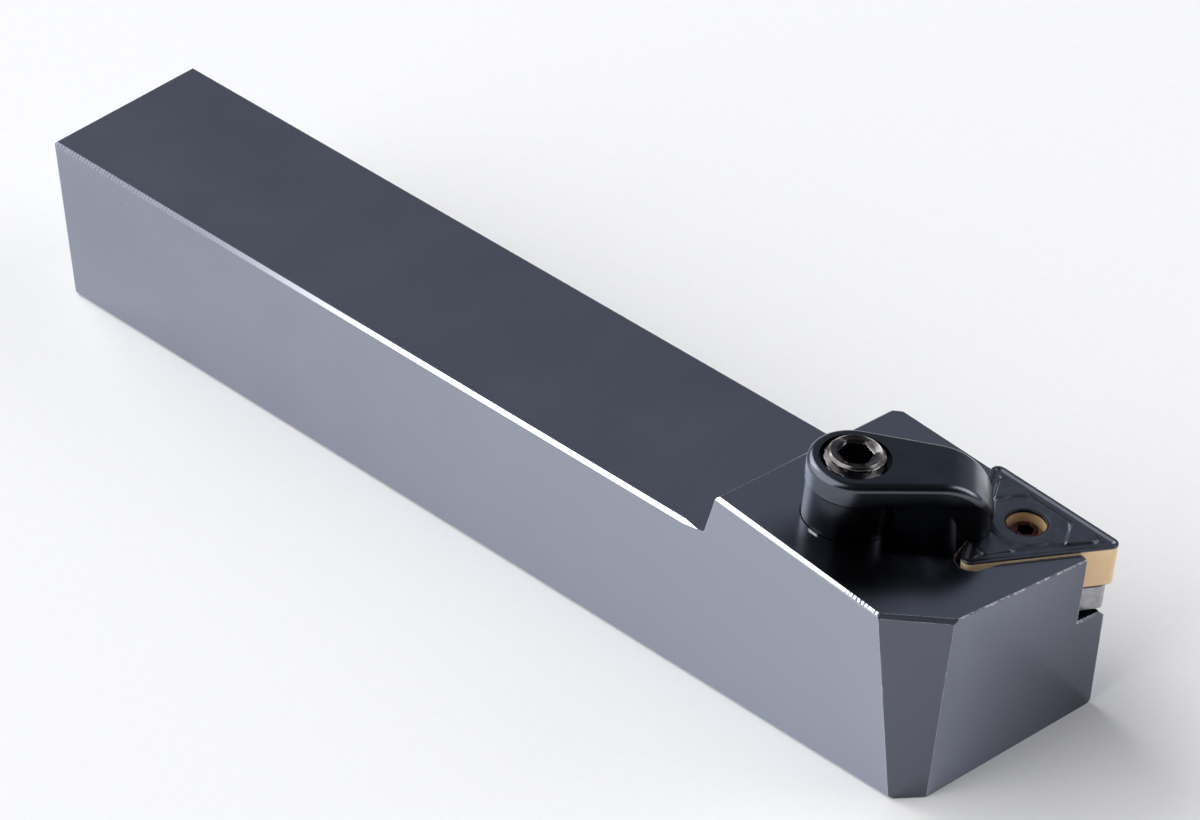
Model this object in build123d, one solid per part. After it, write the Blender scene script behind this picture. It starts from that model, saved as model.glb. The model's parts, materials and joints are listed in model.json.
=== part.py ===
from build123d import *
import os
from math import cos, radians, sin, tan

# Indexable external turning holder, right hand, for a triangular insert.
# Frame: millimetres, +X towards the cutting tip, +Y towards the cutting side, +Z up.
# The origin is the middle of the shank's length, on its bottom face and its centre plane.

# Shank and tip
overall_length = 127.0
shank_width = 19.05
shank_height = 19.05
tip_offset = 25.4
tip_drop = 0.4
head_length = 29.8
lead_angle = 3.0
back_rake = 7.0
side_rake = 6.0
edge_break = 0.35
break_runout = 2.0
far_break = 0.6
end_break = 0.35

# Head block, milled from the blank
head_top_length = 27.4
rise_angle = 68.0
rise_radius = 0.8
front_angle = 4.0
front_relief = 6.0
front_setback = 0.2
corner_angle = 47.0
corner_start = 6.2
flank_relief = 5.0
flank_width = 23.5
flare_angle = 45.0
flare_start = 30.9
corner_break = 0.4
fine_edge = 0.15

# Pocket in the head
insert_rise = 0.4
wall_gap = 0.02
wall_end_y = 1.2
wall_end_angle = -10.0
corner_relief_radius = 1.55
corner_relief_distance = 7.75
corner_relief_depth = 0.3
relief_root_radius = 2.43
relief_root_distance = 4.6
seat_bevel = 0.5

# Insert
inscribed_circle = 9.525
insert_thickness = 4.76
insert_bore = 3.81
bore_chamfer = 0.15
nose_radius = 0.8
land_width = 0.28
rim_drop = 0.15
groove_depth = 0.22
groove_slope = 0.65
groove_corner = 0.2
plateau_radius = 3.55
plateau_lobe = 0.4
plateau_points = 24
plateau_slope = 0.45
ridge_reach = 6.7
ridge_root = 3.0
ridge_root_width = 2.1
ridge_tip_width = 0.9
ridge_drop = 0.1
ridge_slope = 0.25
ridge_rounding = 0.8
bump_distance = 7.2
bump_radius = 0.34
bump_height = 0.14

# Shim and lock pin
shim_thickness = 3.18
shim_setback = 0.35
shim_corner = 0.65
shim_edge = 0.3
pin_diameter = 3.5
pin_recess = 0.75
pin_chamfer = 0.5
pin_collar = 6.0
pin_collar_height = 1.2
pin_neck = 4.6
pin_thread = 4.83
pin_thread_length = 6.0
pin_socket = 1.5
pin_socket_depth = 1.6
fit_gap = 0.05

# Clamp, in the plane of the head's top face
screw_back = 11.35
screw_inward = 12.15
finger_direction = 45.0
boss_radius = 4.5
post_radius = 4.4
post_seam = 4.2
seam_groove = 0.12
post_depth = 4.0
post_chamfer = 0.5
clamp_height = 6.7
finger_reach = 13.35
nose_corner = 2.2
nose_spread = 1.5
roll_angle = 80.0
roll_end_height = 2.2
pad_length = 3.2
pad_gap = 0.05
arch_reach = 7.2
arch_rise = 0.5
clamp_edge = 0.75
recess_diameter = 6.7
recess_depth = 1.1

# Clamp screw and the holes that take it
screw_thread = 5.9
screw_proud = 0.7
screw_chamfer = 0.35
screw_neck = 4.7
screw_neck_length = 3.0
screw_grip = 9.0
screw_socket = 3.0
screw_socket_depth = 3.0
running_gap = 0.08
guide_spare = 0.5
mouth_chamfer = 0.3
drill_spare = 1.5
drill_point = 118.0

# Worked out from the sizes above
shank_length = overall_length - head_length
rear_x = -shank_length / 2
tip_x = rear_x + overall_length
near_y = -shank_width / 2
far_y = shank_width / 2
tip_y = near_y + tip_offset
tip_z = shank_height - tip_drop
tip_direction = 30.0 + lead_angle
seat_z = rim_drop - insert_thickness
floor_z = seat_z - shim_thickness
guide_z = -post_depth - guide_spare
top_rear_x = tip_x - head_top_length
block_size = 2 * overall_length
angle_tolerance = 1e-4


def tool_plane():
    """The plane of the insert's cutting edges, with its origin at the insert's centre."""
    normal = Vector(tan(radians(back_rake)), tan(radians(side_rake)), 1)
    along = Vector(1, 0, -tan(radians(back_rake)))
    at_tip = Plane(origin=(tip_x, tip_y, tip_z), x_dir=along, z_dir=normal)
    nose_centre = inscribed_circle - 2 * nose_radius
    back_x = nose_centre * cos(radians(tip_direction)) + nose_radius
    back_y = nose_centre * sin(radians(tip_direction)) + nose_radius
    centre = at_tip.from_local_coords(Vector(-back_x, -back_y, 0))
    return Plane(origin=centre, x_dir=along, z_dir=normal)


def clamp_plane():
    """The head's top face, with its origin on the clamp screw and +X along the finger."""
    seat = tool_plane()
    foot = seat.from_local_coords(Vector(-screw_back, -screw_inward, -insert_rise))
    finger = polar(1, finger_direction)
    return Plane(origin=foot, x_dir=seat.x_dir * finger.X + seat.y_dir * finger.Y, z_dir=seat.z_dir)


def head_top_z(x, y):
    """Height of the head's sloping top face at a place in plan."""
    top = clamp_plane()
    return top.origin.Z - ((x - top.origin.X) * top.z_dir.X + (y - top.origin.Y) * top.z_dir.Y) / top.z_dir.Z


def polar(distance, angle):
    """A point in the plane from its distance and its direction in degrees."""
    return Vector(distance * cos(radians(angle)), distance * sin(radians(angle)))


def leaning(angle, relief=0.0):
    """Outward normal of an upright face at an angle in plan, leaning in downwards by its relief."""
    flat = polar(cos(radians(relief)), angle)
    return Vector(flat.X, flat.Y, -sin(radians(relief)))


def milled(solid, point, outward):
    """What a flat cut through a point leaves of a solid."""
    return solid.split(Plane(origin=point, z_dir=outward), keep=Keep.BOTTOM)


def drilled(radius, depth):
    """A blind hole's cutter from z = 0 down, with its drill point."""
    point = radius / tan(radians(drill_point / 2))
    outline = Polyline((0, 0), (radius, 0), (radius, -depth), (0, -depth - point), close=True)
    return revolve(Plane.XZ * make_face(outline), Axis.Z)


def mouth(radius, size):
    """A chamfer's cutter round the mouth of a hole at z = 0."""
    return Pos(0, 0, -size / 2) * Cone(radius, radius + size, size)


def hex_socket(width, depth):
    """A hexagon socket's cutter from z = 0 down."""
    return extrude(RegularPolygon(width / 2, 6, major_radius=False), -depth)


def triangle(circle, corner):
    """A triangle with rounded corners about the insert's centre, from its inscribed circle."""
    sharp = Polygon(*[polar(circle, tip_direction + turn) for turn in (0, 120, 240)], align=None)
    return fillet(sharp.vertices(), corner)


def blank():
    """The bar and the head block in one, before the pocket and the holes."""
    bar_length = shank_length + post_radius
    bar = Pos(rear_x + bar_length / 2, 0, shank_height / 2) * Box(bar_length, shank_width, shank_height)
    head = Pos(tip_x, 0, 0) * Box(block_size, block_size, block_size)
    for point, outward in head_sides():
        head = milled(head, point, outward)
    level = milled(head, (0, 0, shank_height), (0, 0, 1))
    raised = milled(head, *rise_face())
    return bar + level + raised


def head_sides():
    """A point and the outward normal of each flat that bounds the head block."""
    top = clamp_plane()
    far_top_y = near_y + flank_width
    far_top = (top_rear_x, far_top_y, head_top_z(top_rear_x, far_top_y))
    return [
        ((0, near_y, 0), (0, -1, 0)),
        ((0, 0, 0), (0, 0, -1)),
        (top.origin, top.z_dir),
        ((tip_x - front_setback, tip_y, shank_height), leaning(-front_angle, front_relief)),
        ((tip_x - corner_start, near_y, 0), leaning(corner_angle - 90)),
        (far_top, leaning(90 + lead_angle, flank_relief)),
        ((tip_x - flare_start, far_y, 0), leaning(90 + flare_angle)),
    ]


def rise_face():
    """A point and the outward normal of the steep face between the shank's top and the head's."""
    rise = polar(1, rise_angle)
    across = Vector(0, 1, -tan(radians(side_rake)))
    return (top_rear_x, near_y, head_top_z(top_rear_x, near_y)), Vector(rise.X, 0, rise.Y).cross(across)


def facing(body, outward):
    """The flat faces of a body whose outward normal is the given one."""
    wanted = Vector(*outward).normalized()
    flat = body.faces().filter_by(GeomType.PLANE)
    return flat.filter_by(lambda face: (face.normal_at() - wanted).length < angle_tolerance)


def shared(body, first, second):
    """The edges in which two sets of flat faces meet, each set named by its outward normal."""
    others = facing(body, second).edges()
    return ShapeList([edge for edge in facing(body, first).edges() if edge in others])


def broken_edges(body):
    """Breaks the blank's edges: the rise's foot, the heavy edges, the fine edges and the rear end."""
    up, down, near, far = (0, 0, 1), (0, 0, -1), (0, -1, 0), (0, 1, 0)
    top = clamp_plane().z_dir
    rise = rise_face()[1]
    front = leaning(-front_angle, front_relief)
    flank = leaning(90 + lead_angle, flank_relief)
    flare = leaning(90 + flare_angle)
    corner = leaning(corner_angle - 90)
    body = fillet(shared(body, up, rise), rise_radius) - near_break()
    body = chamfer(shared(body, top, near), edge_break)
    body = chamfer(shared(body, top, corner), corner_break)
    foot = ShapeList()
    for side in (near, far, flare, flank):
        foot += shared(body, down, side)
    body = chamfer(foot, edge_break)
    body = chamfer(shared(body, up, far), far_break)
    body = chamfer(shared(body, top, front) + shared(body, top, rise) + shared(body, top, flank), fine_edge)
    for across, upward in ((0, 1), (0, -1), (1, 0), (-1, 0)):
        reach = Vector(0, across * (far_y - end_break), upward * (shank_height / 2 - end_break))
        body = milled(body, Vector(rear_x, 0, shank_height / 2) + reach, (-1, across, upward))
    return body


def near_break():
    """Cutter of the chamfer along the shank's near top edge, which runs out before the rise."""
    rise_height = head_top_z(top_rear_x, near_y) - shank_height
    end_x = top_rear_x - rise_height / tan(radians(rise_angle)) - rise_radius
    start = (end_x - break_runout, near_y, shank_height)
    inner = (2 * edge_break, edge_break)
    corner = (-edge_break, edge_break)
    lower = (-edge_break, -2 * edge_break)
    across = Plane(origin=start, x_dir=(0, 1, 0), z_dir=(1, 0, 0))
    section = across * Polygon(inner, corner, lower, align=None)
    runout = loft([section, Vertex(end_x, near_y, shank_height)], ruled=True)
    return extrude(section, -overall_length) + runout


def holder_body():
    """The shank and head with pocket, corner relief, guide bore and tapped holes."""
    body = broken_edges(blank())
    seat = tool_plane().location
    clamp_at = clamp_plane().location
    pin_hole = pin_thread / 2 + fit_gap
    guide = post_radius + running_gap
    screw_hole = screw_thread / 2 + running_gap
    body -= seat * pocket()
    body = chamfer(shared(body, clamp_plane().z_dir, leaning(90 + lead_angle, flank_relief)), seat_bevel)
    body = chamfer(shared(body, clamp_plane().z_dir, leaning(-front_angle, front_relief)), fine_edge)
    body -= seat * Pos(0, 0, floor_z) * drilled(pin_hole, pin_thread_length + drill_spare)
    body -= seat * Pos(0, 0, floor_z) * mouth(pin_hole, mouth_chamfer)
    body -= clamp_at * Pos(0, 0, guide_z / 2) * Cylinder(guide, -guide_z)
    body -= clamp_at * Pos(0, 0, guide_z) * drilled(screw_hole, screw_grip + drill_spare)
    return body


def pocket():
    """The insert pocket's cutter, open to the front and the cutting side, with its tapered corner relief."""
    to_wall = inscribed_circle / 2 + wall_gap
    corner = polar(2 * to_wall, tip_direction - 120)
    front_out = polar(1, tip_direction - 60)
    wall_end_x = (to_wall - wall_end_y * front_out.Y) / front_out.X
    wall_end = Vector(wall_end_x, wall_end_y)
    front_exit = wall_end + polar(shank_width, wall_end_angle)
    rear_exit = corner + polar(2 * shank_width, tip_direction + 90)
    beyond = Vector(front_exit.X, rear_exit.Y)
    outline = Polygon(corner, wall_end, front_exit, beyond, rear_exit, align=None)
    relief_at = polar(corner_relief_distance, tip_direction - 120)
    root_at = polar(relief_root_distance, tip_direction - 120)
    relief = Pos(relief_at.X, relief_at.Y) * Circle(corner_relief_radius)
    root = Pos(root_at.X, root_at.Y) * Circle(relief_root_radius)
    tapered = make_hull([relief.edge(), root.edge()])
    cutter = extrude(outline, shank_height) + extrude(tapered, shank_height)
    cutter += Pos(0, 0, -corner_relief_depth) * extrude(relief, shank_height)
    return Pos(0, 0, floor_z) * cutter


def plateau_outline(spread):
    """The chip breaker's raised island round the bore: a wavy closed line, grown by a spread."""
    points = []
    for step in range(plateau_points):
        angle = 360 * step / plateau_points
        points.append(polar(plateau_radius + spread + plateau_lobe * cos(radians(3 * angle)), angle))
    return Rot(0, 0, tip_direction) * make_face(Spline(*points, periodic=True))


def ridge_outline(grow):
    """One tapering ridge of the chip breaker, pointing along +X, widened all round by a margin."""
    root = ridge_root_width / 2 + grow
    tip = ridge_tip_width / 2 + grow
    reach = ridge_reach + grow
    outline = Polygon((ridge_root, -root), (reach, -tip), (reach, tip), (ridge_root, root), align=None)
    ends = outline.vertices().sort_by(Axis.X)[-2:]
    return fillet(ends, tip * ridge_rounding)


def ridge():
    """The solid of one ridge, from the groove's floor up to just under the island's top."""
    base = Pos(0, 0, -groove_depth) * ridge_outline(ridge_slope)
    crest = Pos(0, 0, rim_drop - ridge_drop) * ridge_outline(0)
    return loft([base, crest], ruled=True)


def half_insert():
    """The insert's upper half, with the chip breaker's land, groove, island, ridges and bumps."""
    middle = rim_drop - insert_thickness / 2
    half = extrude(Pos(0, 0, middle) * triangle(inscribed_circle, nose_radius), -middle)
    land = triangle(inscribed_circle - 2 * land_width, nose_radius - land_width)
    bottom = triangle(inscribed_circle - 2 * (land_width + groove_slope), groove_corner)
    low = Pos(0, 0, -groove_depth)
    high = Pos(0, 0, rim_drop)
    half -= loft([land, low * bottom], ruled=True)
    half += loft([low * plateau_outline(plateau_slope), high * plateau_outline(0)], ruled=True)
    for turn in (0, 120, 240):
        at_corner = Rot(0, 0, tip_direction + turn)
        half += at_corner * ridge()
        half += at_corner * low * Pos(bump_distance, 0, 0) * bump()
    half -= extrude(Pos(0, 0, middle) * Circle(insert_bore / 2), insert_thickness)
    half -= high * mouth(insert_bore / 2, bore_chamfer)
    return half


def bump():
    """The small dome near a corner that breaks the finest chips."""
    return Cone(bump_radius, bump_radius / 2, bump_height, align=(Align.CENTER, Align.CENTER, Align.MIN))


def insert():
    """Double-sided triangular insert, alike above and below its middle plane."""
    half = half_insert()
    middle = Plane(origin=(0, 0, rim_drop - insert_thickness / 2))
    return half + mirror(half, about=middle)


def shim():
    """The carbide seat below the insert, with its bore for the pin's collar."""
    outline = triangle(inscribed_circle - 2 * shim_setback, shim_corner)
    plate = Pos(0, 0, floor_z) * extrude(outline, shim_thickness)
    rims = plate.faces().filter_by(Axis.Z)
    plate = chamfer(rims.edges(), shim_edge)
    collar = pin_collar / 2 + fit_gap
    plate -= Pos(0, 0, seat_z - pin_collar_height / 2) * Cylinder(collar, pin_collar_height)
    return plate - Pos(0, 0, seat_z - shim_thickness / 2) * Cylinder(pin_neck / 2 + fit_gap, shim_thickness)


def lock_pin():
    """The pin that holds shim and insert: head in the insert's bore, collar, neck and thread."""
    top = -pin_recess
    head = pin_diameter / 2
    collar_z = seat_z - pin_collar_height
    end_z = floor_z - pin_thread_length
    outline = Polyline(
        (0, top),
        (head - pin_chamfer, top),
        (head, top - pin_chamfer),
        (head, seat_z - fit_gap),
        (pin_collar / 2, seat_z - fit_gap),
        (pin_collar / 2, collar_z),
        (pin_neck / 2, collar_z),
        (pin_neck / 2, floor_z),
        (pin_thread / 2, floor_z - mouth_chamfer),
        (pin_thread / 2, end_z + mouth_chamfer),
        (pin_thread / 2 - mouth_chamfer, end_z),
        (0, end_z),
        close=True,
    )
    pin = revolve(Plane.XZ * make_face(outline), Axis.Z)
    return pin - Pos(0, 0, top) * hex_socket(pin_socket, pin_socket_depth)


def clamp_outline():
    """The clamp seen along its screw: boss, tapering finger and blunt nose."""
    rings = [Circle(boss_radius)]
    for side in (-1, 1):
        rings.append(Pos(finger_reach - nose_corner, side * nose_spread / 2) * Circle(nose_corner))
    return make_hull([ring.edge() for ring in rings])


def clamp_profile():
    """The clamp seen from the side: flat top rolling down to the nose, arched underside."""
    back = -boss_radius - clamp_edge
    pad_z = insert_rise + rim_drop + pad_gap
    pad_back = finger_reach - pad_length
    roll_radius = (clamp_height - roll_end_height) / (1 - cos(radians(roll_angle)))
    roll_start = finger_reach - roll_radius * sin(radians(roll_angle))
    top = Line((back, clamp_height), (roll_start, clamp_height))
    roll = TangentArc((roll_start, clamp_height), (finger_reach, roll_end_height), tangent=(1, 0))
    nose = Line((finger_reach, roll_end_height), (finger_reach, pad_z))
    pad = Line((finger_reach, pad_z), (pad_back, pad_z))
    inner = TangentArc((pad_back, pad_z), (arch_reach, post_seam + arch_rise), tangent=(0, 1))
    arch = Line((arch_reach, post_seam + arch_rise), (boss_radius, post_seam))
    seam = Line((boss_radius, post_seam), (back, post_seam))
    rear = Line((back, post_seam), (back, clamp_height))
    side = Plane.XZ * make_face([top, roll, nose, pad, inner, arch, seam, rear])
    return extrude(side, boss_radius + clamp_edge, both=True)


def seam_cutter():
    """Ring that cuts a V groove where the post meets the boss."""
    outer = boss_radius + seam_groove
    root = (post_radius - seam_groove, 0)
    outline = Polygon((outer, seam_groove), (outer, -seam_groove), root, align=None)
    return revolve(Plane.XZ * outline, Axis.Z)


def clamp():
    """Finger clamp cast in one piece with its guide post, bored and recessed for the screw."""
    body = extrude(clamp_outline(), clamp_height) & clamp_profile()
    crown = body.faces().filter_by(lambda face: face.normal_at().Z > angle_tolerance).edges()
    body = fillet(ShapeList([edge for edge in crown if crown.count(edge) == 1]), clamp_edge)
    post_length = post_depth + post_seam
    post = Pos(0, 0, post_seam - post_length / 2) * Cylinder(post_radius, post_length)
    post = chamfer(post.edges().sort_by(Axis.Z)[0], post_chamfer)
    body += post
    body -= Pos(0, 0, post_seam) * seam_cutter()
    body -= Pos(0, 0, clamp_height - recess_depth / 2) * Cylinder(recess_diameter / 2, recess_depth)
    bore = screw_thread / 2 + running_gap
    return body - Pos(0, 0, clamp_height - block_size / 2) * Cylinder(bore, block_size)


def clamp_screw():
    """Double-ended screw: opposite threads above and below a neck, a socket in each end."""
    top = clamp_height + screw_proud
    end = guide_z - screw_grip
    thread = screw_thread / 2
    neck = screw_neck / 2
    neck_top = guide_z + screw_neck_length
    outline = Polyline(
        (0, top),
        (thread - screw_chamfer, top),
        (thread, top - screw_chamfer),
        (thread, neck_top),
        (neck, neck_top - thread + neck),
        (neck, guide_z + thread - neck),
        (thread, guide_z),
        (thread, end + screw_chamfer),
        (thread - screw_chamfer, end),
        (0, end),
        close=True,
    )
    screw = revolve(Plane.XZ * make_face(outline), Axis.Z)
    screw -= Pos(0, 0, top) * hex_socket(screw_socket, screw_socket_depth)
    return screw - Pos(0, 0, end + screw_socket_depth) * hex_socket(screw_socket, screw_socket_depth)


if __name__ == "__main__":
    seat_at = tool_plane().location
    clamp_at = clamp_plane().location
    pieces = {
        "holder_body": holder_body(),
        "shim": seat_at * shim(),
        "lock_pin": seat_at * lock_pin(),
        "insert": seat_at * insert(),
        "clamp": clamp_at * clamp(),
        "clamp_screw": clamp_at * clamp_screw(),
    }
    os.makedirs("parts", exist_ok=True)
    for name, piece in pieces.items():
        export_step(piece, f"parts/{name}.step")
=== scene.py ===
import json
import math

import bmesh
import bpy
from mathutils import Matrix, Vector


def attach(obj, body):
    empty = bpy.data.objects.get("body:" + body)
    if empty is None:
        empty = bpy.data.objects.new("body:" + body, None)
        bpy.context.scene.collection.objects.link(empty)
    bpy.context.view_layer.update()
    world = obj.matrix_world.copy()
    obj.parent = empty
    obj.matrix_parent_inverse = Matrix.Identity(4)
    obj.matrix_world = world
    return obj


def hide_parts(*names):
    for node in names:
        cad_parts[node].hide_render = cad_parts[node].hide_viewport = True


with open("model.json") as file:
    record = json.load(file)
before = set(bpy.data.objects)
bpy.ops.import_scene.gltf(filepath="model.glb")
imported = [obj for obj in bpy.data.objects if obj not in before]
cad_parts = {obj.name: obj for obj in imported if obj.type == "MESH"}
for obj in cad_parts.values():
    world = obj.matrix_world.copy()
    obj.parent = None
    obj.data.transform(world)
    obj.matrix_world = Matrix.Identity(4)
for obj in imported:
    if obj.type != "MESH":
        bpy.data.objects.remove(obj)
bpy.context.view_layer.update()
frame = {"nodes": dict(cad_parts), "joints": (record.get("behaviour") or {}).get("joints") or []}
nodes = frame["nodes"]

MM = 0.001

# Sizes of the CAD that places are worked out from, in millimetres and degrees

# Shank and head
OVERALL_LENGTH = 127.0
HEAD_LENGTH = 29.8
HEAD_TOP_LENGTH = 27.4
SHANK_WIDTH = 19.05
SHANK_HEIGHT = 19.05
TIP_OFFSET = 25.4
TIP_DROP = 0.4
LEAD_ANGLE = 3.0
BACK_RAKE = 7.0
FRONT_ANGLE = 4.0
FRONT_RELIEF = 6.0
FRONT_SETBACK = 0.2
CORNER_ANGLE = 47.0
CORNER_START = 6.2

# Insert
INSCRIBED_CIRCLE = 9.525
INSERT_THICKNESS = 4.76
INSERT_BORE = 3.81
NOSE_RADIUS = 0.8
RIM_DROP = 0.15

# Clamp, with heights over its seat on the head's top
FINGER_DIRECTION = 45.0
POST_RADIUS = 4.4
POST_SEAM = 4.2
CLAMP_HEIGHT = 6.7
RECESS_RADIUS = 3.35
RECESS_DEPTH = 1.1

# Clamp screw
SCREW_PROUD = 0.7
SCREW_THREAD = 5.9
SCREW_CHAMFER = 0.35
SCREW_NECK = 4.7
SCREW_NECK_END = -4.5
SCREW_NECK_LENGTH = 3.0
SCREW_GRIP = 9.0
SCREW_SOCKET = 3.0
SCREW_SOCKET_DEPTH = 3.0
SCREW_TOP = CLAMP_HEIGHT + SCREW_PROUD

# The cutting tip, the rear edge of the head's top and the rear edge of its corner facet
TIP = Vector((
    (OVERALL_LENGTH + HEAD_LENGTH) / 2,
    TIP_OFFSET - SHANK_WIDTH / 2,
    SHANK_HEIGHT - TIP_DROP,
))
TOP_REAR_X = TIP.x - HEAD_TOP_LENGTH
CORNER_X = TIP.x - CORNER_START


def leaning(angle, relief=0.0):
    """Outward normal of an upright face at an angle in plan, leaning in downwards by its relief."""
    angle, relief = math.radians(angle), math.radians(relief)
    return Vector((
        math.cos(relief) * math.cos(angle),
        math.cos(relief) * math.sin(angle),
        -math.sin(relief),
    ))


# The clamp screw's place and direction, which is also square to the head's top and the insert's faces.
screw_joint = next(joint for joint in frame["joints"] if joint["type"] == "hinge")
SCREW_ORIGIN = Vector(screw_joint["pos_m"])
SCREW_AXIS = Vector(screw_joint["axis"]).normalized()

# The plane of the cutting edges, with its origin at the insert's centre. The centre of each nose
# lies NOSE_CENTRE away from it.
NOSE_CENTRE = INSCRIBED_CIRCLE - 2 * NOSE_RADIUS
TIP_DIRECTION = math.radians(30 + LEAD_ANGLE)
TOOL_X = Vector((1, 0, -math.tan(math.radians(BACK_RAKE)))).normalized()
TOOL_Y = SCREW_AXIS.cross(TOOL_X).normalized()
# The tip is where the nose reaches furthest along both axes, so the centre lies this far behind it.
BACK_X = NOSE_CENTRE * math.cos(TIP_DIRECTION) + NOSE_RADIUS
BACK_Y = NOSE_CENTRE * math.sin(TIP_DIRECTION) + NOSE_RADIUS
TOOL_ORIGIN = (TIP - TOOL_X * BACK_X - TOOL_Y * BACK_Y) * MM
INSERT_MIDDLE = TOOL_ORIGIN + SCREW_AXIS * (RIM_DROP - INSERT_THICKNESS / 2) * MM

# The finger points along FINGER_AXIS, and FINGER_SIDE points away from the camera.
FINGER_TURN = math.radians(FINGER_DIRECTION)
FINGER_AXIS = TOOL_X * math.cos(FINGER_TURN) + TOOL_Y * math.sin(FINGER_TURN)
FINGER_SIDE = SCREW_AXIS.cross(FINGER_AXIS).normalized()

# Outward directions of the holder's faces and of the broken edges between them.
NEAR_SIDE = Vector((0, -1, 0))
NEAR_CHAMFER = Vector((0, -1, 1)).normalized()
FRONT_FACE = leaning(-FRONT_ANGLE, FRONT_RELIEF)
FRONT_LIP = (FRONT_FACE + SCREW_AXIS).normalized()
FRONT_PLACE = Vector((TIP.x - FRONT_SETBACK, TIP.y, SHANK_HEIGHT)) * MM
CORNER_FACET = leaning(CORNER_ANGLE - 90)
CORNER_LIP = (CORNER_FACET + SCREW_AXIS).normalized()

# The lower half of the rolled edge between the clamp's top and its near side.
ROLLED_TURN = math.radians(65)
ROLLED_EDGE = SCREW_AXIS * math.cos(ROLLED_TURN) - FINGER_SIDE * math.sin(ROLLED_TURN)

# The photograph's camera, fitted to the corners of the shank, the head and the insert
IMAGE_WIDTH = 1200
FOCAL_PIXELS = 6442.687
CAMERA_AZIMUTH = -50.342
CAMERA_ELEVATION = 36.281
CAMERA_ROLL = -4.899
CAMERA_DISTANCE = 622.494 * MM
CAMERA_TARGET = Vector((23.871, 0, 15.6)) * MM
SENSOR_WIDTH = 36

# How far wear reaches in from an edge
EDGE_WEAR = 0.08 * MM


# Camera


def place_camera():
    """Stands the camera where the photograph's was."""
    azimuth, elevation = math.radians(CAMERA_AZIMUTH), math.radians(CAMERA_ELEVATION)
    roll = math.radians(CAMERA_ROLL)
    look = Vector((
        math.sin(azimuth) * math.cos(elevation),
        math.cos(azimuth) * math.cos(elevation),
        -math.sin(elevation),
    ))
    right = look.cross(Vector((0, 0, 1))).normalized()
    up = right.cross(look)
    turned_right = right * math.cos(roll) + up * math.sin(roll)
    turned_up = up * math.cos(roll) - right * math.sin(roll)
    data = bpy.data.cameras.new("camera")
    data.sensor_fit = "HORIZONTAL"
    data.sensor_width = SENSOR_WIDTH
    data.lens = SENSOR_WIDTH * FOCAL_PIXELS / IMAGE_WIDTH
    data.clip_start = 0.01
    data.clip_end = 20
    camera = bpy.data.objects.new("camera", data)
    bpy.context.scene.collection.objects.link(camera)
    axes = Matrix((turned_right, turned_up, -look)).transposed().to_4x4()
    camera.matrix_world = Matrix.Translation(CAMERA_TARGET - look * CAMERA_DISTANCE) @ axes
    bpy.context.scene.camera = camera


# Nodes


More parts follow.
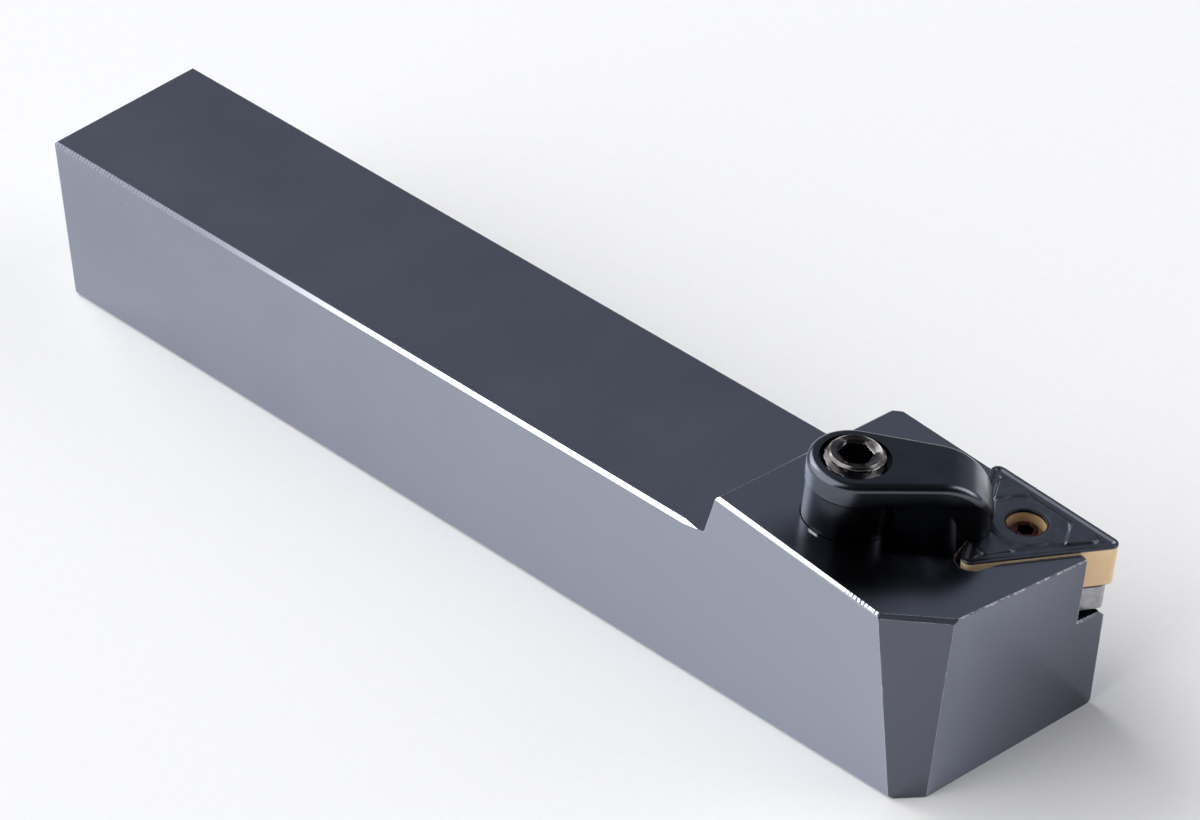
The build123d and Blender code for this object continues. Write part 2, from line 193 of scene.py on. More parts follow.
class Shader:
    """A small helper that builds one material's node tree."""

    def __init__(self, name):
        self.material = bpy.data.materials.new(name)
        self.material.use_nodes = True
        self.tree = self.material.node_tree
        self.tree.nodes.clear()
        output = self.node("ShaderNodeOutputMaterial")
        self.surface = self.node("ShaderNodeBsdfPrincipled")
        self.link(self.surface.outputs["BSDF"], output.inputs["Surface"])
        self.place = self.node("ShaderNodeTexCoord").outputs

    def node(self, kind, **settings):
        made = self.tree.nodes.new(kind)
        for key, value in settings.items():
            setattr(made, key, value)
        return made

    def link(self, source, target):
        self.tree.links.new(source, target)

    def feed(self, socket, value):
        """Links value to the socket if it is another node's output, and otherwise sets it."""
        if hasattr(value, "is_linked"):
            self.link(value, socket)
        else:
            socket.default_value = value

    def math(self, operation, *values):
        """One step of arithmetic on numbers or other nodes' outputs."""
        made = self.node("ShaderNodeMath", operation=operation)
        for socket, value in zip(made.inputs, values):
            self.feed(socket, value)
        return made.outputs[0]

    def times(self, first, *others):
        """The product of two or more values."""
        for other in others:
            first = self.math("MULTIPLY", first, other)
        return first

    def plus(self, first, *others):
        """The sum of two or more values."""
        for other in others:
            first = self.math("ADD", first, other)
        return first

    def most(self, first, *others):
        """The largest of two or more values."""
        for other in others:
            first = self.math("MAXIMUM", first, other)
        return first

    def dot(self, vector, direction):
        made = self.node("ShaderNodeVectorMath", operation="DOT_PRODUCT")
        self.feed(made.inputs[0], vector)
        self.feed(made.inputs[1], direction)
        return made.outputs["Value"]

    def coordinate(self, name):
        """X, Y or Z of the point, in metres."""
        made = self.node("ShaderNodeSeparateXYZ")
        self.link(self.place["Object"], made.inputs[0])
        return made.outputs[name]

    def distance(self, axis, origin):
        """How far the point lies from an origin along a direction, in metres."""
        return self.math("SUBTRACT", self.dot(self.place["Object"], axis), origin.dot(axis))

    def radius(self, axes, origin):
        """Distance from the line through an origin that is square to two directions, in metres."""
        parts = [self.distance(axis, origin) for axis in axes]
        squares = [self.times(part, part) for part in parts]
        return self.math("SQRT", self.plus(*squares))

    def stretched(self, scale):
        """Object coordinates in metres, stretched by three factors."""
        made = self.node("ShaderNodeVectorMath", operation="MULTIPLY")
        self.link(self.place["Object"], made.inputs[0])
        made.inputs[1].default_value = scale
        return made.outputs[0]

    def noise(self, scale, detail=3.0, roughness=0.55, vector=None):
        """Soft noise of about 0 to 1, with this many cells to the metre."""
        made = self.node("ShaderNodeTexNoise")
        self.link(vector or self.place["Object"], made.inputs["Vector"])
        made.inputs["Scale"].default_value = scale
        made.inputs["Detail"].default_value = detail
        made.inputs["Roughness"].default_value = roughness
        return made.outputs["Fac"]

    def spots(self, scale, radius):
        """1 in small round spots spread at random, radius in parts of a cell."""
        made = self.node("ShaderNodeTexVoronoi")
        self.link(self.place["Object"], made.inputs["Vector"])
        made.inputs["Scale"].default_value = scale
        return self.ramp(made.outputs["Distance"], radius, radius * 0.6)

    def ramp(self, value, zero_at, one_at):
        """0 at zero_at and 1 at one_at, straight between and flat outside."""
        made = self.node("ShaderNodeMapRange")
        self.feed(made.inputs["Value"], value)
        made.inputs["From Min"].default_value = zero_at
        made.inputs["From Max"].default_value = one_at
        return made.outputs["Result"]

    def span(self, value, zero_at, one_at):
        """A ramp over a distance, with its ends in millimetres."""
        return self.ramp(value, zero_at * MM, one_at * MM)

    def band(self, value, zero_at, one_at, one_until, zero_from):
        """1 from one_at to one_until with a ramp to 0 on either side, in millimetres."""
        return self.times(self.span(value, zero_at, one_at), self.span(value, zero_from, one_until))

    def range(self, value, low, high):
        """Takes a value of 0 to 1 to low to high."""
        made = self.node("ShaderNodeMapRange")
        self.feed(made.inputs["Value"], value)
        made.inputs["To Min"].default_value = low
        made.inputs["To Max"].default_value = high
        return made.outputs["Result"]

    def without(self, mask):
        """1 where a mask is 0, and 0 where it is 1."""
        return self.range(mask, 1.0, 0.0)

    def mix(self, share, first, second):
        """The first colour where share is 0, and the second where it is 1."""
        made = self.node("ShaderNodeMix", data_type="RGBA")
        self.feed(made.inputs["Factor"], share)
        for socket, value in zip((made.inputs[6], made.inputs[7]), (first, second)):
            self.feed(socket, (*value, 1.0) if isinstance(value, tuple) else value)
        return made.outputs[2]

    def facing(self, direction, zero_at, one_at):
        """A ramp over the cosine between the surface's outward direction and a given one."""
        return self.ramp(self.dot(self.place["Normal"], direction), zero_at, one_at)

    def edges(self, radius):
        """1 on the object's outer edges, from how far a rounded normal leaves the true one."""
        rounded = self.node("ShaderNodeBevel", samples=6)
        rounded.inputs["Radius"].default_value = radius
        plain = self.node("ShaderNodeNewGeometry").outputs["Normal"]
        return self.ramp(self.dot(rounded.outputs["Normal"], plain), 0.995, 0.90)

    def bump(self, height, distance, under=None):
        """A normal for a relief of this many metres, over another normal if one is given."""
        made = self.node("ShaderNodeBump")
        made.inputs["Distance"].default_value = distance
        made.inputs["Strength"].default_value = 1.0
        self.link(height, made.inputs["Height"])
        if under:
            self.link(under, made.inputs["Normal"])
        return made.outputs["Normal"]

    def finish(self, color, metallic, roughness, normal, tint=None):
        """Feeds the surface and hands back the material."""
        self.feed(self.surface.inputs["Base Color"], color)
        self.feed(self.surface.inputs["Metallic"], metallic)
        self.feed(self.surface.inputs["Roughness"], roughness)
        self.link(normal, self.surface.inputs["Normal"])
        if tint:
            self.link(tint, self.surface.inputs["Specular Tint"])
        return self.material


# Materials


class HolderSteel(Shader):
    """Dark satin steel with a blue cast: faint ground lines, bright broken edges, a few specks, and
    painted light and shade on some faces.
    """

    def __init__(self):
        super().__init__("holder_steel")
        self.cloud = self.noise(90, 2)
        self.fine = self.noise(3200, 5, 0.65)
        # Where the point lies: along the shank, over the cutting edges, and round the clamp's post
        self.x = self.coordinate("X")
        self.over = self.distance(SCREW_AXIS, TOOL_ORIGIN)
        self.along = self.distance(FINGER_AXIS, SCREW_ORIGIN)
        self.across = self.distance(FINGER_SIDE, SCREW_ORIGIN)
        self.from_post = self.radius((FINGER_AXIS, FINGER_SIDE), SCREW_ORIGIN)
        # Masks that several layers use
        self.top = self.facing(SCREW_AXIS, 0.9, 0.96)
        self.lip = self.facing(FRONT_LIP, 0.965, 0.985)
        self.chamfer = self.facing(NEAR_CHAMFER, 0.97, 0.985)
        self.under = self.under_finger()

    def under_finger(self):
        """The part of the head's top that the finger covers."""
        width = self.span(self.math("ABSOLUTE", self.across), 6.5, 5.0)
        return self.times(self.band(self.along, 1.5, 3.5, 9.5, 12.0), width)

    def faces(self):
        """The colour of the flat faces, with painted light and shade on some of them."""
        tone = self.plus(self.times(self.cloud, 0.5), self.times(self.fine, 0.5))
        color = self.mix(self.ramp(tone, 0.3, 0.7), (0.275, 0.295, 0.36), (0.315, 0.335, 0.405))
        # The near side is painted a little brighter towards the head, a painted light.
        painted_near_side = self.times(self.facing(NEAR_SIDE, 0.97, 0.99), self.span(self.x, -30, 60))
        color = self.mix(painted_near_side, color, (0.345, 0.367, 0.44))
        # The front face and the corner facet are painted darker than the sides, a painted shade, and the
        # front more so towards its far side.
        painted_shade_gradient = self.span(self.coordinate("Y"), -3, 12)
        front = self.times(self.facing(FRONT_FACE, 0.9, 0.97), painted_shade_gradient, 0.79)
        color = self.mix(front, color, (0.095, 0.102, 0.128))
        return self.mix(self.facing(CORNER_FACET, 0.9, 0.97), color, (0.115, 0.122, 0.15))

    def painted_shade(self):
        """Painted shade: the seat's floor and the head's top under and beside the clamp are painted
        black.
        """
        floor = self.times(self.span(self.over, -5.0, -5.5), self.span(self.x, 55, 56))
        beside = self.times(
            self.band(self.along, -9.0, -4.5, 2.0, 6.0),
            self.span(self.across, 0.0, -4.5),
            self.range(self.span(self.across, -14.5, -10.0), 0.3, 0.8),
        )
        return self.times(self.top, self.most(floor, beside, self.under))

    def worn(self):
        """Where edges are rubbed bright, with one painted glint on the guide bore's rim."""
        rub = self.ramp(self.noise(1700, 4, 0.7), 0.34, 0.52)
        # The step up to the head's top is rubbed along the whole of its edges.
        step = self.band(self.x, TOP_REAR_X - 2.2, TOP_REAR_X - 1.8, TOP_REAR_X + 1.0, TOP_REAR_X + 1.4)
        ridge = self.times(step, self.range(self.noise(1200, 3), 0.7, 1.0))
        worn = self.times(self.edges(EDGE_WEAR), self.most(rub, ridge))
        # The front face keeps its black right up to the lip, which only has nicks.
        front = self.span(self.distance(FRONT_FACE, FRONT_PLACE), -0.3, -0.25)
        worn = self.times(worn, self.without(self.times(front, self.span(self.over, -1.0, -0.9))))
        nick = self.range(self.ramp(self.noise(1500, 4, 0.75), 0.45, 0.65), 0.03, 0.3)
        worn = self.most(worn, self.times(self.lip, nick))
        # Round the post no edge is rubbed, but one painted glint shows on the guide bore's rim.
        worn = self.times(worn, self.span(self.from_post, POST_RADIUS + 0.5, POST_RADIUS + 0.7))
        glint = self.times(
            self.band(self.along, -3.7, -3.5, -2.9, -2.7),
            self.span(self.from_post, POST_RADIUS + 0.45, POST_RADIUS + 0.35),
            self.span(self.across, -1.0, -2.0),
        )
        worn = self.most(worn, glint)
        # The seat's front edge below the insert is rubbed in small patches.
        seat = self.times(self.band(self.over, -10.5, -9.5, -5.0, -4.0), self.span(self.x, 66, 68))
        ragged = self.times(self.edges(0.3 * MM), self.ramp(self.noise(5200, 3, 0.85), 0.5, 0.57))
        return self.most(self.times(worn, self.range(seat, 1.0, 0.1)), self.times(seat, ragged))

    def chamfered(self, color):
        """The near top edge's chamfer is bright, partly a painted highlight that grows towards the head,
        and the cutter's chatter breaks it up at its ends.
        """
        chatter_pitch = 0.47 * MM
        wander = self.times(self.noise(900, 4, 0.7), 6.0)
        stripe = self.math("SINE", self.plus(self.times(self.x, 2 * math.pi / chatter_pitch), wander))
        ends = self.most(self.span(self.x, -12, -40), self.span(self.x, CORNER_X - 6.7, CORNER_X - 3.7))
        patchy = self.ramp(self.noise(2600, 3, 0.7), 0.3, 0.5)
        gap = self.times(self.chamfer, ends, self.ramp(stripe, 0.5, -0.6), patchy)
        painted_shine = self.math("POWER", self.span(self.x, -30, 12), 2.0)
        bright = self.mix(painted_shine, (0.19, 0.2, 0.24), (0.9, 0.92, 0.95))
        color = self.mix(self.chamfer, color, bright)
        color = self.mix(gap, color, (0.105, 0.113, 0.137))
        # Towards the head's front the painted bright band gets narrower.
        narrow = self.times(self.span(self.x, TOP_REAR_X - 1.0, CORNER_X - 0.2), 0.13 * MM)
        faded = self.span(self.math("SUBTRACT", self.over, narrow), -0.72, -0.78)
        faded = self.times(self.chamfer, faded, self.span(self.x, TOP_REAR_X - 1.0, TOP_REAR_X - 0.5))
        return self.mix(faded, color, (0.2, 0.215, 0.25))

    def build(self):
        """All layers of the material, one over the other."""
        # First the painted shade, near black, on the seat's floor and round the clamp.
        color = self.mix(self.painted_shade(), self.faces(), (0.012, 0.013, 0.017))
        # The front lip is painted dark, a painted shade that dims its reflection; only its nicks stay
        # bright.
        color = self.mix(self.times(self.lip, 0.95), color, (0.03, 0.031, 0.038))
        worn = self.worn()
        color = self.mix(worn, color, (0.8, 0.82, 0.86))
        color = self.chamfered(color)
        color = self.mix(self.spots(230, 0.016), color, (0.75, 0.77, 0.8))
        rough = self.plus(self.range(self.cloud, 0.15, 0.2), self.range(self.fine, -0.02, 0.03))
        rough = self.plus(rough, self.times(self.most(self.chamfer, worn), 0.14))
        # The head's top is less finely ground than the shank.
        head = self.range(self.span(self.x, TOP_REAR_X - 1.0, TOP_REAR_X), 0.0, 0.035)
        rough = self.plus(rough, self.times(self.top, head))
        lines = self.noise(1, 3, 0.6, self.stretched((160, 5200, 5200)))
        normal = self.bump(self.fine, 0.0012 * MM, self.bump(lines, 0.0009 * MM))
        # The broken edge over the corner facet is a little duller than the rest.
        dull = self.range(self.facing(CORNER_LIP, 0.97, 0.985), 1.0, 0.87)
        metal = self.times(self.range(worn, 1.0, 0.4), dull)
        # Under the finger the specular tint is lowered as well, so the painted shade there gives no sheen
        # at a low angle either.
        tint = self.mix(self.times(self.top, self.under), (1.0, 1.0, 1.0), (0.3, 0.3, 0.3))
        return self.finish(color, metal, rough, normal, tint)


class ClampSteel(Shader):
    """Gloss black steel over a softly uneven cast skin, a little brighter where it is rubbed, with a
    painted highlight on its nose and painted shade below.
    """

    def __init__(self):
        super().__init__("clamp_steel")
        self.skin = self.noise(420, 2, 0.5)
        self.along = self.distance(FINGER_AXIS, SCREW_ORIGIN)
        self.across = self.distance(FINGER_SIDE, SCREW_ORIGIN)
        self.up = self.distance(SCREW_AXIS, SCREW_ORIGIN)
        # The foot of the nose is painted black, a painted shade, and is made rougher.
        self.low = self.times(self.span(self.along, 4.7, 5.2), self.span(self.up, 4.4, 3.9))

    def painted_shade(self):
        """Painted shade: the seam over the post and the recess round the screw are painted black."""
        from_seam = self.math("ABSOLUTE", self.math("SUBTRACT", self.up, POST_SEAM * MM))
        radius = self.radius((FINGER_AXIS, FINGER_SIDE), SCREW_ORIGIN)
        floor = CLAMP_HEIGHT - RECESS_DEPTH
        inside = self.times(
            self.span(radius, RECESS_RADIUS + 0.07, RECESS_RADIUS + 0.01),
            self.span(self.up, floor - 0.2, floor - 0.1),
        )
        return self.most(self.span(from_seam, 0.13, 0.07), inside)

    def shade(self):
        """Painted shade: below its rolled edge the finger is painted black, and so is the near side of
        the post.
        """
        finger = self.times(self.span(self.along, -2.5, 3.0), self.span(self.up, 5.7, 4.3))
        post = self.times(self.span(self.along, -2.2, 1.6), self.span(self.up, 4.4, 3.9))
        # The painted shade leaves one upright strip on the post, beside the finger's arch, where a glint
        # shows.
        glint = self.times(self.band(self.along, 2.6, 3.1, 4.1, 4.45), self.span(self.up, 3.9, 3.4))
        painted_near_side = self.span(self.across, 1.0, -1.0)
        shade = self.times(self.most(finger, post), self.range(glint, 1.0, 0.15), painted_near_side)
        # The rest of the post below the seam is painted darker too, a painted shade that lightens towards
        # the seam over it.
        below = self.times(
            self.span(self.up, POST_SEAM, POST_SEAM - 0.1),
            self.span(self.along, 2.0, 1.0),
            self.range(self.span(self.up, 0.5, 3.5), 0.85, 0.6),
        )
        # The lower half of the rolled edge is painted a little darker, a painted shade over its
        # highlight.
        rolled = self.times(
            self.facing(ROLLED_EDGE, 0.955, 0.985),
            self.span(self.along, -1.5, 0.5),
            0.45,
        )
        return self.most(shade, self.low, below, rolled)

    def build(self):
        """All layers of the material, one over the other."""
        color = self.mix(self.ramp(self.skin, 0.3, 0.7), (0.085, 0.096, 0.117), (0.1, 0.112, 0.134))
        # The faces towards the finger's nose are painted lighter, a painted highlight.
        color = self.mix(self.facing(FINGER_AXIS, 0.2, 0.95), color, (0.34, 0.35, 0.39))
        rub = self.ramp(self.noise(1300, 3, 0.7), 0.5, 0.75)
        color = self.mix(self.times(self.edges(EDGE_WEAR), rub), color, (0.5, 0.5, 0.52))
        color = self.mix(self.spots(300, 0.02), color, (0.7, 0.7, 0.72))
        # Last the painted shade, near black: the finger's near side, the post, the nose's foot, the seam
        # and the recess.
        black = self.most(self.times(self.shade(), 0.94), self.painted_shade())
        color = self.mix(black, color, (0.006, 0.006, 0.008))
        rough = self.plus(self.range(self.skin, 0.2, 0.27), self.times(self.low, 0.12))
        fine = self.noise(5200, 4, 0.6)
        normal = self.bump(fine, 0.0006 * MM, self.bump(self.skin, 0.008 * MM))
        return self.finish(color, 1.0, rough, normal)


def screw_steel():
    """Gunmetal with a brown cast, brighter on the thread's crests and the rims."""
    s = Shader("screw_steel")
    stain = s.noise(900, 4, 0.6)
    fine = s.noise(6500, 4, 0.6)
    color = s.mix(s.ramp(stain, 0.35, 0.65), (0.13, 0.12, 0.122), (0.2, 0.18, 0.18))
    # The thread's side below the rim and the socket's mouth are painted dark, a painted shade.
    up = s.distance(SCREW_AXIS, SCREW_ORIGIN)
    side = s.span(up, SCREW_TOP - 0.42, SCREW_TOP - 0.54)
    socket = s.span(s.radius((FINGER_AXIS, FINGER_SIDE), SCREW_ORIGIN), 1.95, 1.8)
    color = s.mix(s.times(s.most(side, socket), 0.75), color, (0.02, 0.021, 0.027))
    worn = s.times(s.edges(EDGE_WEAR), s.ramp(fine, 0.3, 0.55), s.range(side, 1.0, 0.45))
    color = s.mix(worn, color, (0.72, 0.7, 0.68))
    return s.finish(color, 1.0, s.range(stain, 0.16, 0.28), s.bump(fine, 0.0025 * MM))


def pin_steel():
    """Hardened pin, brown-black from tempering."""
    s = Shader("pin_steel")
    stain = s.noise(1400, 4, 0.6)
    color = s.mix(s.ramp(stain, 0.35, 0.65), (0.06, 0.024, 0.022), (0.17, 0.06, 0.042))
    color = s.mix(s.edges(0.06 * MM), color, (0.42, 0.26, 0.2))
    return s.finish(color, 1.0, s.range(stain, 0.1, 0.2), s.bump(stain, 0.13 * MM))


def insert_coating():
    """Coated carbide: gloss black faces that wrap over the edges, gold flanks and bore."""
    s = Shader("insert_coating")
    stain = s.noise(900, 4, 0.6)
    height = s.distance(SCREW_AXIS, INSERT_MIDDLE)
    level = s.plus(height, s.times(stain, 0.08 * MM))
    upright = s.ramp(s.math("ABSOLUTE", s.dot(s.place["Normal"], SCREW_AXIS)), 0.7, 0.5)
    flank = s.times(upright, s.span(level, 2.1, 2.0))
    black = s.mix(s.ramp(stain, 0.3, 0.7), (0.155, 0.168, 0.205), (0.195, 0.21, 0.25))
    gold = s.mix(s.ramp(stain, 0.3, 0.7), (0.97, 0.66, 0.37), (1.0, 0.73, 0.45))
    # The faces that lean, round the rim and in the groove, are painted darker than the level ones, a
    # painted shade.
    black = s.mix(s.times(s.facing(SCREW_AXIS, 0.985, 0.86), 0.6), black, (0.03, 0.032, 0.04))
    color = s.mix(flank, black, gold)
    # Where the black face turns down into the bore it is painted darker, a painted shade, and made
    # rougher.
    bore = INSERT_BORE / 2
    mouth = s.span(s.radius((TOOL_X, TOOL_Y), INSERT_MIDDLE), bore + 0.255, bore + 0.115)
    mouth = s.times(mouth, s.without(flank))
    color = s.mix(mouth, color, (0.035, 0.036, 0.042))
    rough = s.plus(s.range(flank, 0.3, 0.34), s.range(stain, -0.03, 0.05), s.times(mouth, 0.15))
    grain = s.noise(12000, 3, 0.6)
    return s.finish(color, s.range(flank, 1.0, 0.3), rough, s.bump(grain, 0.0008 * MM))


def shim_carbide():
    """Ground grey carbide with a fine sintered grain."""
    s = Shader("shim_carbide")
    grain = s.noise(9000, 5, 0.7)
    stain = s.noise(1200, 4, 0.6)
    color = s.mix(s.ramp(stain, 0.3, 0.7), (0.4, 0.39, 0.415), (0.56, 0.55, 0.575))
    color = s.mix(s.edges(EDGE_WEAR), color, (0.8, 0.79, 0.8))
    return s.finish(color, 1.0, s.range(grain, 0.34, 0.5), s.bump(grain, 0.003 * MM))


def floor_paper():
    """Plain matt white paper."""
    s = Shader("floor_paper")
    fibre = s.noise(900, 4, 0.6)
    color = s.mix(fibre, (0.86, 0.86, 0.865), (0.9, 0.9, 0.905))
    return s.finish(color, 0.0, 0.9, s.bump(fibre, 0.01 * MM))


# Meshes


def add_piece(name, rings, axes, origin, closed, sharp_angle, material):
    """A piece skinned over rings of points in millimetres, all with the same number of points.

    With closed, the last ring joins the first, and otherwise each end ring gets a flat face.
    """
    place = Matrix(axes).transposed().to_4x4()
    place.translation = origin
    bm = bmesh.new()
    made = [[bm.verts.new(place @ (Vector(point) * MM)) for point in ring] for ring in rings]
    following = made[1:] + made[:1] if closed else made[1:]
    for first, second in zip(made, following):
        for k in range(len(first)):
            after = (k + 1) % len(first)
            bm.faces.new((first[k], second[k], second[after], first[after]))
    if not closed:
        bm.faces.new(made[0])
        bm.faces.new(list(reversed(made[-1])))
    bmesh.ops.recalc_face_normals(bm, faces=bm.faces)
    mesh = bpy.data.meshes.new(name)
    bm.to_mesh(mesh)
    bm.free()
    mesh.shade_smooth()
    mesh.set_sharp_from_angle(angle=math.radians(sharp_angle))
    piece = bpy.data.objects.new(name, mesh)
    bpy.context.scene.collection.objects.link(piece)
    mesh.materials.append(material)
    return piece


def toward(angle):
    """A unit vector in the plane."""
    return Vector((math.cos(angle), math.sin(angle)))


# Screw


def thread_share(height, angle, hand):
    """0 at the thread's root and 1 on its crest, at a height in turns of the thread."""
    start, root_share, flank_share = 0.55, 0.25, 0.625
    phase = (height - hand * angle / (2 * math.pi) - start) % 1.0
    wave = 1.0 - abs(2.0 * phase - 1.0)
    return min(max((wave - root_share) / flank_share, 0.0), 1.0)


def build_screw():
    """The double-ended screw with its real threads: left-hand above the neck, right-hand below."""
    pitch = 1.0
    crest, root, neck = SCREW_THREAD / 2, 2.4, SCREW_NECK / 2
    top, end = SCREW_TOP, SCREW_NECK_END - SCREW_GRIP
    neck_top, neck_end = SCREW_NECK_END + SCREW_NECK_LENGTH, SCREW_NECK_END
    rim, cone_start, cone_slope = 2.68, 0.32, 1.2
    points_around = 96
    angles = [2 * math.pi * k / points_around for k in range(points_around)]

    def envelope(height):
        """The largest radius that the plain solid has at this height."""
        limit = min(crest, rim + cone_slope * (top - cone_start - height))
        limit = min(limit, crest - SCREW_CHAMFER + (height - end))
        if neck_end < height < neck_top:
            limit = min(limit, max(neck, height - neck_top + crest))
            limit = min(limit, max(neck, neck_end - height + crest))
        return limit

    def circle(radius, height):
        return [(*(toward(angle) * radius), height) for angle in angles]

    def hexagon(flats, height):
        """A hexagon by its width across flats."""
        ring = []
        for angle in angles:
            turn = angle % (math.pi / 3) - math.pi / 6
            ring.append((*(toward(angle) * (flats / 2 / math.cos(turn))), height))
        return ring

    def threaded(height):
        """A turn round the thread, whose hand changes in the middle of the neck."""
        hand = -1 if height > (neck_top + neck_end) / 2 else 1
        ring = []
        for angle in angles:
            thread = root + (crest - root) * thread_share(height / pitch, angle, hand)
            ring.append((*(toward(angle) * min(envelope(height), thread)), height))
        return ring

    # Each socket has a rounded mouth, and its floor is rounded too and runs to a shallow point.
    flats, depth, mouth = SCREW_SOCKET, SCREW_SOCKET_DEPTH, 1.83
    floor_flats, floor_round, point_depth, point_width = flats * 0.92, 0.12, 0.75, 0.02
    upper = [
        hexagon(point_width, top - depth - point_depth),
        hexagon(floor_flats, top - depth),
        hexagon(flats, top - depth + floor_round),
        hexagon(flats, top - 0.3),
        circle(mouth, top - 0.12),
        circle(2.34, top - 0.05),
        circle(2.4, top),
        circle(2.46, top - 0.01),
        circle(2.64, top - 0.19),
        circle(rim, top - 0.25),
        circle(rim, top - 0.31),
    ]
    lower = [
        circle(2.5, end),
        circle(mouth + 0.1, end),
        circle(mouth, end + 0.02),
        hexagon(flats, end + 0.2),
        hexagon(flats, end + depth - floor_round),
        hexagon(floor_flats, end + depth),
        hexagon(point_width, end + depth + point_depth),
    ]
    # The thread starts below the rim's rings, with sixteen rings to the pitch.
    step = pitch / 16
    first, last = 6, math.floor((top - end) / step)
    middle = [threaded(top - k * step) for k in range(first, last + 1)]
    screw = add_piece(
        "screw_with_thread",
        rings=upper + middle + lower,
        axes=(FINGER_AXIS, FINGER_SIDE, SCREW_AXIS),
        origin=SCREW_ORIGIN,
        closed=False,
        sharp_angle=34,
        material=screw_steel(),
    )
    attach(screw, "screw")
    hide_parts("clamp_screw")


# Insert


# Directions of the triangle's corners in the plane of the cutting edges, the first to the tip
INSERT_CORNERS = [TIP_DIRECTION + math.radians(turn) for turn in (0, 120, 240)]


def smooth(value, low, high):
    """0 below low, 1 above high, and a smooth curve between."""
    t = min(max((value - low) / (high - low), 0.0), 1.0)
    return t * t * (3 - 2 * t)


def fall(value, low, high):
    """1 below low, 0 above high, and a smooth curve between."""
    return 1 - smooth(value, low, high)


def insert_outline():
    """The triangle with its round corners, at the level of the cutting edges."""
    arc_steps, side_steps = 24, 64
    outline = []
    for k, angle in enumerate(INSERT_CORNERS):
        centre = toward(angle) * NOSE_CENTRE
        for step in range(arc_steps + 1):
            turn = angle + math.radians(120) * (step / arc_steps - 0.5)
            outline.append(centre + toward(turn) * NOSE_RADIUS)
        start = outline[-1]
        following = INSERT_CORNERS[(k + 1) % len(INSERT_CORNERS)]
        end = toward(following) * NOSE_CENTRE + toward(following - math.pi / 3) * NOSE_RADIUS
        outline += [start.lerp(end, step / side_steps) for step in range(1, side_steps)]
    return outline


def from_outline(point):
    """Distance of a point from the insert's outline, measured inwards."""
    sides = [toward(angle + math.pi / 3) for angle in INSERT_CORNERS]
    flat = min(INSCRIBED_CIRCLE / 2 - point.dot(side) for side in sides)
    for angle in INSERT_CORNERS:
        axis = toward(angle)
        if point.dot(axis) > NOSE_CENTRE - NOSE_RADIUS / 2:
            off = point - axis * NOSE_CENTRE
            if abs(math.atan2(off.cross(axis), off.dot(axis))) < math.pi / 3:
                flat = min(flat, NOSE_RADIUS - off.length)
    return flat


def chip_breaker(point):
    """Height of the insert's face over the plane of the cutting edges."""
    depth, ring = from_outline(point), point.length
    # Behind a land comes the groove, and then the island with a low hub that dips round the bore.
    groove = 0.17 * smooth(depth, 0.22, 0.62)
    island = 0.2 * smooth(depth, 0.95, 1.65)
    hub = 0.09 * fall(ring, 3.05, 3.5)
    dip = 0.04 * fall(ring, 2.0, 2.3)
    level = island - groove + hub - dip
    for angle in INSERT_CORNERS:
        axis = toward(angle)
        ahead, off = point.dot(axis), abs(point.cross(axis))
        if ahead < 2.5:
            continue
        # A tongue that tapers to the corner, a crease where it leaves the hub, and a bump at its end.
        width = 1.95 - 0.52 * (ahead - 3.9)
        tongue = fall(off, width - 0.25, width + 0.2) * smooth(ahead, 3.85, 4.2) * fall(ahead, 6.35, 6.9)
        crease = 0.075 * fall(abs(ring - 3.78), 0.05, 0.3) * fall(off, 1.2, 1.9)
        bump = 0.055 * fall((point - axis * 7.35).length, 0.06, 0.3)
        level += (0.12 - level) * tongue - crease + bump
    # The cutting edges are a little rounded.
    rounding = 0.06
    edge = min(depth, rounding)
    return min(level, RIM_DROP) - rounding * (1 - edge / rounding) ** 2


def build_insert():
    """The insert with its soft chip breaker: land, groove, rounded island and a tongue to each corner."""
    outline = insert_outline()
    bore, bore_break = INSERT_BORE / 2, 0.05
    # The rings of the face crowd together towards the cutting edges.
    ring_steps, crowding = 58, 1.35
    face = []
    for k in range(ring_steps, -1, -1):
        share = (k / ring_steps) ** crowding
        points = [point.lerp(point.normalized() * (bore + bore_break), share) for point in outline]
        face.append([(*point, chip_breaker(point)) for point in points])
    # The other face mirrors the first one at the insert's middle.
    middle = RIM_DROP - INSERT_THICKNESS / 2
    levels = (-0.14, -0.3, middle, 2 * middle + 0.3, 2 * middle + 0.14)
    flanks = [[(*point, level) for point in outline] for level in levels]
    back = [[(x, y, 2 * middle - z) for x, y, z in ring] for ring in reversed(face)]
    bore_top = face[0][0][2] - bore_break
    bore_levels = (2 * middle - bore_top, middle, bore_top)
    walls = [[(*(point.normalized() * bore), level) for point in outline] for level in bore_levels]
    insert = add_piece(
        "insert_with_chip_breaker",
        rings=face + flanks + back + walls,
        axes=(TOOL_X, TOOL_Y, SCREW_AXIS),
        origin=TOOL_ORIGIN,
        closed=True,
        sharp_angle=40,
        material=insert_coating(),
    )
    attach(insert, "holder")
    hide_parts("insert")


# Studio


def area_light(name, place, size, power):
    """A square soft box of this size in metres and this power in watts, turned to the object."""
    data = bpy.data.lights.new(name, "AREA")
    data.shape = "SQUARE"
    data.size = size
    data.energy = power
    light = bpy.data.objects.new(name, data)
    bpy.context.scene.collection.objects.link(light)
    light.location = place
    aim = Vector((0.03, 0, 0.01))
    light.rotation_euler = (aim - Vector(place)).to_track_quat("-Z", "Y").to_euler()


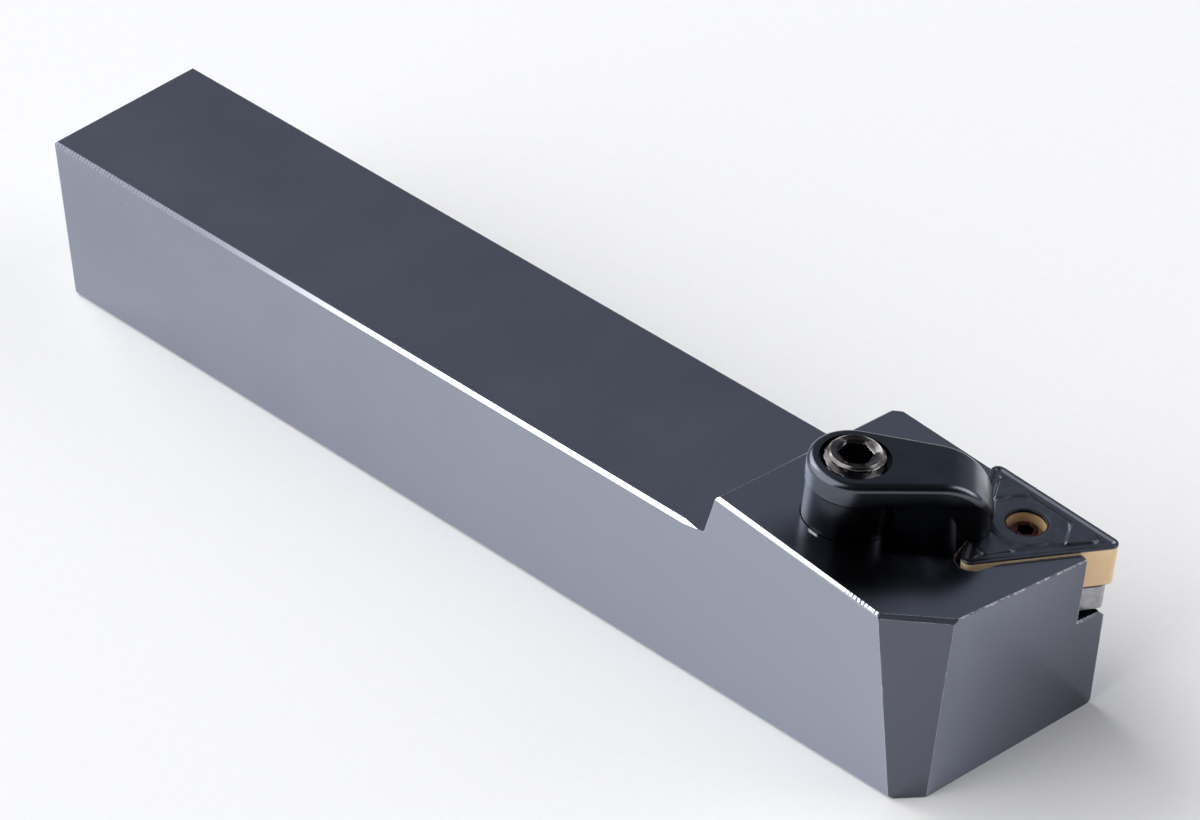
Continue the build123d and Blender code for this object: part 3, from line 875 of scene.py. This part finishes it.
def light_surroundings():
    """Dim grey surroundings, darker still on the camera's side and overhead."""
    dark_side = Vector((0.45, -0.45, 0.77)).normalized()
    world = bpy.data.worlds.new("surroundings")
    bpy.context.scene.world = world
    world.use_nodes = True
    tree = world.node_tree
    background = next(node for node in tree.nodes if node.type == "BACKGROUND")
    place = tree.nodes.new("ShaderNodeTexCoord")
    nearness = tree.nodes.new("ShaderNodeVectorMath")
    nearness.operation = "DOT_PRODUCT"
    nearness.inputs[1].default_value = dark_side
    shade = tree.nodes.new("ShaderNodeMapRange")
    shade.interpolation_type = "SMOOTHSTEP"
    shade.inputs["From Min"].default_value = 0.2
    shade.inputs["From Max"].default_value = 0.7
    dim = tree.nodes.new("ShaderNodeMix")
    dim.data_type = "RGBA"
    dim.inputs[6].default_value = (0.19, 0.2, 0.23, 1)
    dim.inputs[7].default_value = (0.035, 0.036, 0.043, 1)
    tree.links.new(place.outputs["Generated"], nearness.inputs[0])
    tree.links.new(nearness.outputs["Value"], shade.inputs["Value"])
    tree.links.new(shade.outputs["Result"], dim.inputs["Factor"])
    tree.links.new(dim.outputs[2], background.inputs["Color"])
    background.inputs["Strength"].default_value = 1.0


def studio():
    """White paper floor, dim surroundings and three soft boxes."""
    bm = bmesh.new()
    bmesh.ops.create_grid(bm, x_segments=8, y_segments=8, size=3.0)
    mesh = bpy.data.meshes.new("floor")
    bm.to_mesh(mesh)
    bm.free()
    mesh.materials.append(floor_paper())
    floor = bpy.data.objects.new("floor", mesh)
    bpy.context.scene.collection.objects.link(floor)
    area_light("soft_left_front", (-1.41, -1.98, 1.78), 5.4, 187.0)
    area_light("soft_left", (-2.3, 0.1, 1.8), 1.8, 40.0)
    area_light("soft_right_back", (0.88, 0.86, 0.78), 0.95, 5.2)
    light_surroundings()
    bpy.context.scene.view_settings.view_transform = "Standard"


# Dressing


def dress(name, material):
    """Gives a CAD node its finished material."""
    mesh = nodes[name].data
    mesh.materials.clear()
    mesh.materials.append(material)


place_camera()
studio()
dress("holder_body", HolderSteel().build())
dress("clamp", ClampSteel().build())
dress("shim", shim_carbide())
dress("lock_pin", pin_steel())
build_screw()
build_insert()
